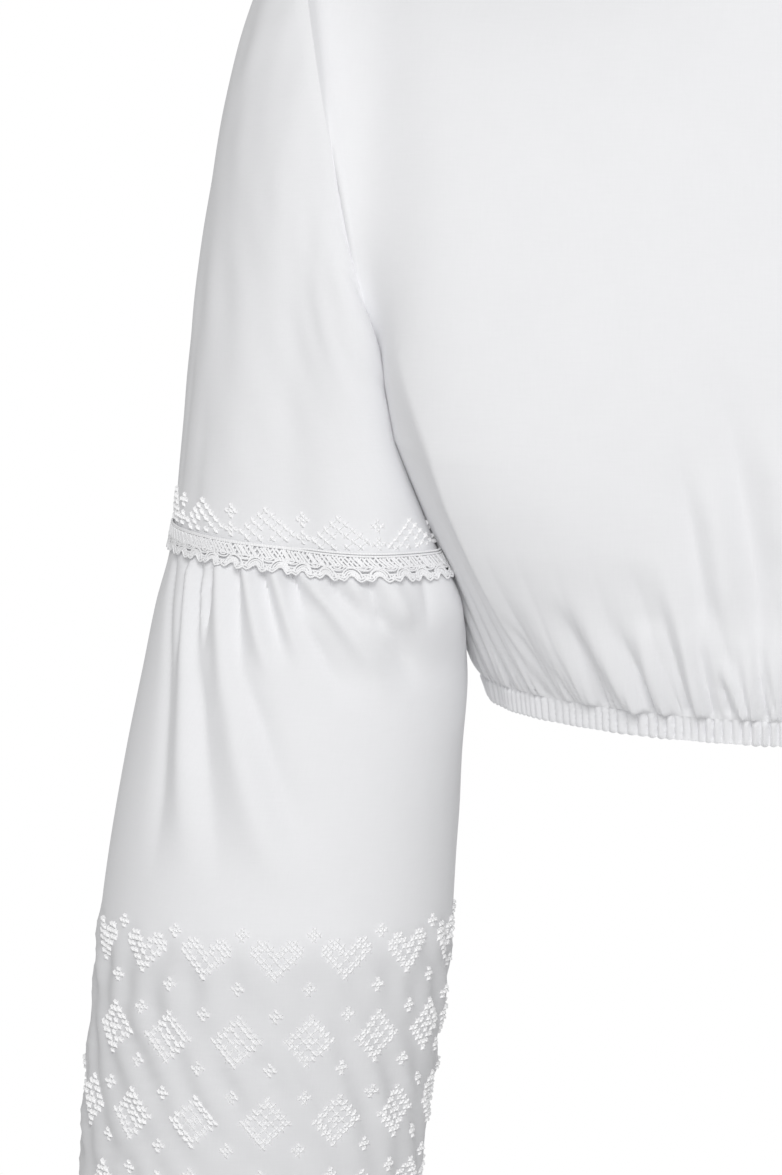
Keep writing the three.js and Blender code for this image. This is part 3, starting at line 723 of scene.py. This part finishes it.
def add_binding(cotton):
    """A narrow strip folded over the neckline's edge."""
    up, turn = ring_grid(np.linspace(0, 1, BINDING_ROWS + 1), BINDING_COLUMNS)
    round_neck = np.where(turn < 0.5, 2 * turn, 2 - 2 * turn)
    low, high = neck_points(NECKLINE, round_neck), neck_points(BINDING, round_neck)
    points = low + (high - low) * up[..., None]
    points[..., 0] *= np.where(turn < 0.5, 1, -1)
    slack = slack_round(points, heading=75, length=20, pitch=6, seed=71)
    shaped = stand_out(points, BINDING_OUT * half_round(up) - BINDING_IN + 0.12 * slack)
    return add_ring("neck_binding", points, shaped, up * BINDING_DEEP, 3, cotton, doubled=0.6)


# ---- thread

def tubes(paths, normals, radius, sides, ring):
    """Points, quads and places of threads along paths. One that is no ring has four sides and two
    flat ends."""
    tangents = unit(steps_across(paths, ring))
    side = unit(np.cross(tangents, normals))
    up = np.cross(side, tangents)
    angle = 2 * np.pi * (np.arange(sides) + 0.5) / sides
    rings = side[:, :, None] * np.cos(angle)[:, None] + up[:, :, None] * np.sin(angle)[:, None]
    points = paths[:, :, None] + rings * radius
    count, stations = paths.shape[:2]
    size = stations * sides
    first = np.arange(count)[:, None] * size
    number = close_ring(np.arange(size).reshape(stations, sides))
    number = np.concatenate([number, number[:1]]) if ring else number
    faces = (first[..., None] + corners(number)).reshape(-1, 4)
    m, k = (corners(steps) for steps in np.indices(number.shape))
    lengths = arc_lengths(paths)
    lengths = np.concatenate([lengths, lengths[:, -1:] * stations / (stations - 1)], 1) / 10
    places = np.stack(np.broadcast_arrays(lengths[:, m], k / sides), -1).reshape(-1, 4, 2)
    if not ring:
        faces = np.concatenate([faces, first + [0, 3, 2, 1], first + size - sides + [0, 1, 2, 3]])
        places = np.concatenate([places, np.zeros((2 * count, 4, 2))])
    return points.reshape(-1, 3), faces, places


def add_thread(name, parts, material, crease, mirror, node=None):
    """One piece from all its threads, the other way round on the wearer's left."""
    points, faces, places = zip(*parts)
    starts = np.cumsum([0, *map(len, points[:-1])])
    points, places = np.concatenate(points), np.concatenate(places)
    faces = np.concatenate([quads + start for quads, start in zip(faces, starts)])
    if mirror:
        points, faces, places = points * (-1, 1, 1), faces[:, ::-1], places[:, ::-1]
    return place(add_mesh(name, points, faces, material, places, crease=crease), node)


# ---- lace

LACE_HEAD, LACE_DEEP, LACE_OFF = -282.9, 12, 1.2
LACE_UNITS, LACE_ROWS = 36, 16
# Cords: millimetres down from the heading, radius, lift and the height of their waves.
CORDS = ((0, 0.45, 0.1, 0), (1.1, 0.5, 0, 0), (5.8, 0.4, 0.2, 0.25))
# Slanting strands: the share of a unit at which they start, and their lift; and those behind them.
SLANTS = ((0, 0), (0.14, 0.12), (0.29, -0.05), (0.5, 0.05), (0.65, -0.05), (0.78, 0.14))
BACK_SLANTS = (0, 0.2, 0.4, 0.6, 0.8)
# Arches: half their width as a share of the unit, and how far down their top and their feet are.
SMALL_ARCHES = ((0.27, 7.3, 6), (0.14, 6.6, 5.9))
PETAL_ARCHES = ((0.37, 6.2, 10.3), (0.29, 7, 10), (0.2, 7.8, 9.7), (0.1, 8.5, 9.4))
# Strands inside a petal: their two ends and their radius.
PETAL_STRANDS = (
    ((0.36, 8.7), (0.64, 8.7), 0.42), ((0.4, 8.7), (0.56, 10.6), 0.4), ((0.6, 8.7), (0.44, 10.6), 0.4),
    ((0.3, 8.8), (0.2, 10.6), 0.36), ((0.7, 8.8), (0.8, 10.6), 0.36),
)
# The lower edge in one unit: shares of the unit and millimetres down, with two small teeth.
LACE_EDGE = (
    (0, 9.5), (0.1, 9.9), (0.2, 11.2), (0.3, 11.9), (0.4, 11.6), (0.5, 10.9), (0.6, 11.3), (0.7, 11.7),
    (0.8, 11), (0.9, 9.8), (1, 9.5),
)


def lace_grid(form, shaped):
    """The form that the lace lies on, over the sleeve's gathers, and the shares round it."""
    columns = form.shape[1]
    down, turn = ring_grid(np.linspace(LACE_DEEP, 0, LACE_ROWS), columns)
    z = LACE_HEAD + elbow_rise(turn) - down

    def at_height(values):
        return np.stack([np.interp(z[:, i], form[:, i, 2], values[:, i]) for i in range(columns)], 1)

    points = sample(form, at_height(np.indices(form.shape[:2])[0]), turn * columns)
    off = at_height(np.sum((shaped - form) * grid_normals(form, True), -1))
    off = np.maximum.reduce([np.roll(off, k, 1) for k in range(-4, 5)])
    for _ in range(9):
        off = (np.roll(off, 1, 1) + np.roll(off, -1, 1) + 2 * off) / 4
    lengths = ring_places(points)
    return stand_out(points, LACE_OFF + np.maximum(off, -0.3)), lengths[:, :-1] / lengths[:, -1:]


def lace_paths(paths, grid, share, lift):
    """Paths on the lace's form from points in units along it and millimetres down."""
    u, down = paths[..., 0] / LACE_UNITS, paths[..., 1]
    rows = (1 - down / LACE_DEEP) * (len(grid) - 1)
    columns = np.interp(u % 1, np.append(share[-1], 1), np.arange(grid.shape[1] + 1))
    normals = unit(sample(grid_normals(grid, True), rows, columns))
    return sample(grid, rows, columns) + normals * lift, normals


def strand(start, end, stations, bow=0):
    """A path from one point to another, bowed sideways along the lace."""
    t = np.linspace(0, 1, stations)[:, None]
    path = np.array(start) * (1 - t) + np.array(end) * t
    path[:, 0] += bow * np.sin(np.pi * t[:, 0])
    return path


def arch(half, top, foot):
    """A path that rises from one foot to its top and goes down to the other."""
    t = np.pi / 2 * np.linspace(-1, 1, 10)
    return np.stack([half * np.sin(t), top + (foot - top) * (1 - np.cos(t))], -1)


def repeat_round(path):
    """Copies of a path in every unit, each a little off its place."""
    draw = np.random.default_rng(int(abs(path).sum() * 1000))
    units = np.stack([np.arange(LACE_UNITS), np.zeros(LACE_UNITS)], -1)
    off = draw.normal(0, 1, (LACE_UNITS, 2)) * (0.02, 0.12) + units
    return path[None] + off[:, None]


def unit_threads():
    """The threads of one unit of the lace: path, radius and lift."""
    threads = [
        (strand((k, 1.7), (k + 0.32, 5.9), 6, 0.04 * math.sin(9 * k)), 0.58, lift) for k, lift in SLANTS
    ]
    threads += [(strand((k + 0.24, 1.6), (k, 5.9), 5, -0.02), 0.5, -0.45) for k in BACK_SLANTS]
    threads += [(arch(*sizes) + (0.5, 0), 0.42, 0.15) for sizes in SMALL_ARCHES]
    threads += [(arch(*sizes), 0.46, 0.1) for sizes in PETAL_ARCHES]
    (start, end, radius), *others = PETAL_STRANDS
    threads.append((strand(start, end, 5), radius, 0.15))
    return threads + [(strand(start, end, 4), radius, 0) for start, end, radius in others]


def add_lace(material, side, mirror, form, shaped):
    """Crochet lace: cords, a net of slanting strands, petals of nested arches, a toothed edge."""
    grid, share = lace_grid(form, shaped)
    parts = []

    def lay(paths, radius, lift, sides=4, ring=False):
        parts.append(tubes(*lace_paths(paths, grid, share, lift), radius, sides, ring))

    u = np.linspace(0, LACE_UNITS, 10 * LACE_UNITS, endpoint=False)
    for down, radius, lift, wave in CORDS:
        lay(np.stack([u, down + wave * np.cos(2 * np.pi * u)], -1)[None], radius, lift, 6, True)
    for path, radius, lift in unit_threads():
        lay(repeat_round(path), radius, lift)
    u = np.linspace(0, LACE_UNITS, 20 * LACE_UNITS, endpoint=False)
    edge = np.interp(u % 1, *np.array(LACE_EDGE).T)
    for inside, radius, lift, sides in ((0.4, 0.42, 0.25, 6), (1.4, 0.38, 0.1, 4)):
        lay(np.stack([u, edge - inside], -1)[None], radius, lift, sides, True)
    node = f"lace_band_{side}"
    return add_thread(f"{node}_lace", parts, material, 80, mirror, node)


# ---- cross-stitch

CELL, BORDER_CELL, STAR_CELL = 2.45, 2.6, 1.95
# The border: its flattening, its number of half diamonds, where the first is, their height and the
# heights of the stars.
BORDER_HIGH, BORDER_COUNT, BORDER_FIRST, BORDER_AT, BORDER_STARS = 0.9, 11, 38, -275.3, (-271.5, -279)
HALF_DIAMOND = ("....#....", "...#.#...", "..#.#.#..", ".#.#.#.#.", "#.#...#.#", ".#.#.#.#.")
POINT = (".##.#.##.", "..##.##..", "...###...", "....#....")
DIAMOND = (*POINT[::-1], "##.###.##", *POINT)
HEART = (".##...##.", "####.####", "##.###.##", *POINT)
STAR = (".#.", "###", ".#.")
UPPER_ROUND, LOWER_ROUND = 331, 438
MOTIF_ROWS = ((HEART, -451, 26.5, 29.8), (DIAMOND, -484, 42.2, 30.4), (DIAMOND, -517.5, 26.6, 30.7),
              (DIAMOND, -550.5, 42.2, 30.7))
# A bar of thread: shares of its reach along it, and heights. Then its reach as a share of a cell,
# and its sizes in millimetres.
BAR = ((-1, -0.4), (-0.5, 0.75), (0.5, 0.75), (1, -0.4))
BAR_REACH, BAR_WIDE, BAR_SUNK, BAR_OFF, BAR_OVER = 0.54, 0.56, 0.3, 0.1, 0.4
BAR_LONG, BAR_ROUND = 0.09, 0.25


def spread(chart, centres, cell=CELL):
    """A chart's crosses at each of several places: length round the sleeve, height and size."""
    wide, tall = len(chart[0]), len(chart)
    return np.array([
        (s + (i - (wide - 1) / 2) * cell, z + ((tall - 1) / 2 - j) * cell, cell)
        for s, z in centres for j, row in enumerate(chart) for i, mark in enumerate(row) if mark == "#"
    ])


def border_places():
    """The border above the lace: half diamonds all round, with stars between them."""
    pitch = UPPER_ROUND / BORDER_COUNT
    middles = BORDER_FIRST + pitch * np.arange(BORDER_COUNT)
    peaks = [(s, elbow_rise(s / UPPER_ROUND) / BORDER_HIGH) for s in middles]
    peaks = spread(HALF_DIAMOND, peaks, BORDER_CELL) * (1, BORDER_HIGH, 1) + (0, BORDER_AT, 0)
    valleys = [(s, elbow_rise(s / UPPER_ROUND) + z) for s in middles + pitch / 2 for z in BORDER_STARS]
    return np.concatenate([peaks, spread(STAR, valleys, STAR_CELL)])


def row_places():
    """The lower sleeve's rows of hearts and diamonds, with small stars between them."""
    parts = []
    for chart, z, first, pitch in MOTIF_ROWS:
        middles = [first + pitch * k for k in range(14) if first + pitch * k < LOWER_ROUND - 10]
        parts.append(spread(chart, [(s, z) for s in middles]))
        between = [(s + pitch / 2, z + step) for s in middles for step in (-11.5, 10.5)]
        parts.append(spread(STAR, between, STAR_CELL))
    return np.concatenate(parts)


def find_on_sleeve(form, round_length, places):
    """Rows and columns of a sleeve's grid at lengths round it and heights."""
    lengths = ring_places(form)
    lengths = lengths / lengths[:, -1:]
    heights = close_ring(form[..., 2])
    found = []
    for s, z in places[:, :2]:
        row = 0
        for _ in range(3):
            column = np.interp((s / round_length) % 1, lengths[int(row)], np.arange(lengths.shape[1]))
            i = min(int(column), lengths.shape[1] - 2)
            profile = heights[:, i] + (heights[:, i + 1] - heights[:, i]) * (column - i)
            row = np.interp(z, profile, np.arange(len(form)))
        found.append((row, column))
    return np.array(found).T


def add_stitches(name, material, form, shaped, round_length, places, mirror):
    """Cross-stitch on a sleeve: each cross is two arched bars of thread, one over the other."""
    rows, columns = find_on_sleeve(form, round_length, places)
    normals = unit(sample(grid_normals(shaped, True), rows, columns))
    centres = sample(shaped, rows, columns)
    ahead = unit(sample(form, rows, columns + 0.3) - sample(form, rows, columns - 0.3))
    ahead = unit(ahead - normals * np.sum(ahead * normals, -1, keepdims=True))
    up = np.cross(normals, ahead)
    count = len(places)
    draw = np.random.default_rng(count)
    number = np.arange(3 * len(BAR)).reshape(-1, 3)
    faces = (np.arange(count)[:, None, None] * number.size + corners(number)).reshape(-1, 4)
    m, k = (corners(steps) for steps in np.indices(number.shape))
    thread_places = np.tile(np.stack([m * BAR_LONG, k * BAR_ROUND], -1), (count, 1, 1))
    parts = []
    for way, lift in ((1, 0), (-1, BAR_OVER)):
        reach = BAR_REACH * places[:, 2:] * draw.uniform(0.9, 1.08, (count, 1))
        slant = ahead + up * (way * draw.uniform(0.8, 1.15, (count, 1)))
        thick = draw.uniform(0.85, 1.15, (count, 1))
        across = unit(np.cross(normals, slant))
        stations = []
        for along_bar, height in BAR:
            middle = centres + slant * reach * along_bar
            top = middle + normals * (height + BAR_OFF + lift * (height > 0)) * thick
            foot = middle + normals * -BAR_SUNK
            wide = BAR_WIDE * thick * (1 if height > 0 else 0.5)
            stations.append(np.stack([foot + across * wide, top, foot - across * wide], 1))
        parts.append((np.stack(stations, 1).reshape(-1, 3), faces, thread_places))
    return add_thread(name, parts, material, 75, mirror)


# ---- materials

def wire(tree, kind, inputs, output=0, **settings):
    """A node's output, if it has one. An input's value is a number or a socket to link from."""
    node = tree.nodes.new("ShaderNode" + kind)
    for key, value in settings.items():
        setattr(node, key, value)
    for key, value in inputs.items():
        if isinstance(value, bpy.types.NodeSocket):
            tree.links.new(value, node.inputs[key])
        else:
            node.inputs[key].default_value = value
    return node.outputs[output] if node.outputs else None


def times_plus(tree, value, factor, more=0):
    """value * factor + more, of numbers or sockets."""
    return wire(tree, "Math", {0: value, 1: factor, 2: more}, operation="MULTIPLY_ADD")


def noise(tree, scale, detail, at=None):
    """Noise by the places on the cloth, or else fixed to the object."""
    at = at or wire(tree, "TexCoord", {}, "Object")
    return wire(tree, "TexNoise", {"Vector": at, "Scale": scale, "Detail": detail})


def finish_material(tree, shader, colour, tone, relief, strength, depth):
    """A colour times its tone, and fine relief."""
    tinted = wire(tree, "VectorMath", {0: colour, "Scale": tone}, operation="SCALE")
    bump = wire(tree, "Bump", {"Height": relief, "Strength": strength, "Distance": depth})
    tree.links.new(tinted, shader.inputs["Base Color"])
    tree.links.new(bump, shader.inputs["Normal"])


def new_material(name, **constants):
    """A material, with underscores for the spaces in its shader's inputs."""
    material = bpy.data.materials.new(name)
    material.use_nodes = True
    shader = material.node_tree.nodes["Principled BSDF"]
    for key, value in constants.items():
        shader.inputs[key.replace("_", " ")].default_value = value
    return material, material.node_tree, shader


# The wave texture's scale for one wave in each centimetre of the cloth's places.
WAVE_SCALE = 2 * math.pi / 20
THREADS_PER_CM = 22
COTTON_WHITE, LACE_WHITE, THREAD_WHITE = (0.875, 0.877, 0.892), (0.94, 0.94, 0.95), (0.95, 0.95, 0.955)


def cotton_material():
    """White cotton in a plain weave, whiter where it lies double, with painted light beside the armhole,
    and darker between stitches where it is worked, as painted shade of its puckers.
    """
    material, tree, shader = new_material(
        "white_cotton", Roughness=0.88, Sheen_Weight=0.15, Sheen_Roughness=0.5, Specular_IOR_Level=0.25)
    cloth = wire(tree, "UVMap", {}, uv_map="cloth")
    wave = {"Vector": cloth, "Scale": THREADS_PER_CM * WAVE_SCALE, "Distortion": 0.6, "Detail": 1,
            "Detail Scale": 0.4}
    weave = times_plus(tree, *(wire(tree, "TexWave", wave, 1, bands_direction=way) for way in "XY"))
    warp, weft = (
        noise(tree, 1, 3, wire(tree, "Mapping", {"Vector": cloth, "Scale": stretch}))
        for stretch in ((16, 0.9, 1), (0.9, 16, 1))
    )
    slub = times_plus(tree, warp, 1, weft)
    doubled, worked = (
        wire(tree, "Attribute", {}, "Fac", attribute_name=label) for label in ("doubled", "worked")
    )
    tone = times_plus(tree, slub, 0.03, 0.945)
    # Painted light and shade: the paint beside the armhole whitens the cloth, and the worked ground is
    # darkened as painted shade of its puckers.
    for value, amount in ((weave, 0.02), (noise(tree, 60, 2), 0.02), (doubled, 0.1), (worked, -0.115)):
        tone = times_plus(tree, value, amount, tone)
    finish_material(tree, shader, COTTON_WHITE, tone, times_plus(tree, slub, 0.6, weave), 0.35, 0.00008)
    return material


def thread_material(name, colour, roughness, twists_per_cm):
    """Twisted white thread: the places on it are centimetres along and turns round."""
    material, tree, shader = new_material(name, Roughness=roughness, Sheen_Weight=0.2, Sheen_Roughness=0.4)
    spot = wire(tree, "UVMap", {}, uv_map="cloth")
    spot = wire(tree, "Mapping", {"Vector": spot, "Scale": (twists_per_cm, 2, 1)})
    wave = {"Vector": spot, "Scale": WAVE_SCALE * 1.4142, "Distortion": 0.4, "Detail": 1}
    twist = wire(tree, "TexWave", wave, 1, bands_direction="DIAGONAL")
    fuzz = noise(tree, 2500, 2)
    tone = times_plus(tree, twist, 0.06, times_plus(tree, fuzz, 0.05, 0.97))
    finish_material(tree, shader, colour, tone, times_plus(tree, fuzz, 0.5, twist), 0.5, 0.0001)
    return material


# ---- room

FLOOR_LEVEL, FLOOR_RADIUS, FLOOR_CORNERS = -1.3, 2.2, 96
SOFT_LIGHT = 0.43
# Round lights, aimed at the middle of the blouse: place and size in metres, and watts.
LIGHTS = {"key": ((0, -2.7, 1.1), 1.4, 47), "back": ((0.2, 3.2, 0.3), 1.6, 26)}
LIT = Vector((0, 0, -0.3))


def add_floor():
    """A plain pale floor, well below the part."""
    mesh = bpy.data.meshes.new("floor")
    ring = [(FLOOR_RADIUS * math.cos(a), FLOOR_RADIUS * math.sin(a), FLOOR_LEVEL)
            for a in np.linspace(0, 2 * math.pi, FLOOR_CORNERS, endpoint=False)]
    mesh.from_pydata(ring, [], [list(range(FLOOR_CORNERS))])
    material, tree, shader = new_material("pale_floor", Roughness=0.9)
    tone = wire(tree, "MapRange", {"Value": noise(tree, 9, 4), "To Min": 0.86, "To Max": 0.9})
    tree.links.new(tone, shader.inputs["Base Color"])
    mesh.materials.append(material)
    add_object("floor", mesh)


def light_room():
    """A white background, soft light from all round, and a broad light in front and behind."""
    world = bpy.data.worlds.new("studio")
    world.use_nodes = True
    tree = world.node_tree
    tree.nodes.clear()
    soft, white = (
        wire(tree, "Background", {"Color": (1, 1, 1, 1), "Strength": strength})
        for strength in (SOFT_LIGHT, 1)
    )
    seen = wire(tree, "LightPath", {}, "Is Camera Ray")
    wire(tree, "OutputWorld", {"Surface": wire(tree, "MixShader", {0: seen, 1: soft, 2: white})})
    bpy.context.scene.world = world
    bpy.context.scene.view_settings.view_transform = "Standard"
    for name, (at, size, watts) in LIGHTS.items():
        data = bpy.data.lights.new(name, "AREA")
        data.shape, data.size, data.energy = "DISK", size, watts
        add_object(name, data, at, LIT)


# ---- the part

def build():
    """Every piece: the sheets of cloth by node, and the thread on each of them."""
    cotton = cotton_material()
    lace = thread_material("lace_thread", LACE_WHITE, 0.7, 12)
    thread = thread_material("embroidery_thread", THREAD_WHITE, 0.5, 14)
    sheets, worked = {}, {}
    sheets["bodice_front"], sheets["bodice_back"], wall = add_bodice(cotton)
    sheets["hem_casing"] = add_casing(cotton)
    sheets["neck_binding"] = add_binding(cotton)
    for side, mirror in (("right", False), ("left", True)):
        for name, make, length, places in (
            ("upper_sleeve", upper_sleeve, UPPER_ROUND, border_places()),
            ("lower_sleeve", lower_sleeve, LOWER_ROUND, row_places()),
        ):
            smooth, relief, paint = make(int(mirror), wall)
            shaped, node = stand_out(smooth, relief), f"{name}_{side}"
            sheets[node] = add_ring(node, smooth, shaped, smooth[..., 2], 1, cotton, mirror, **paint)
            stitches = f"{node}_stitches"
            worked[node] = [add_stitches(stitches, thread, smooth, shaped, length, places, mirror)]
        sheets[f"cuff_{side}"] = add_cuff(cotton, side, mirror)
        worked[node].append(add_lace(lace, side, mirror, smooth, shaped))
    return sheets, worked


add_camera()
light_room()
add_floor()
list(build())

bpy.context.view_layer.update()
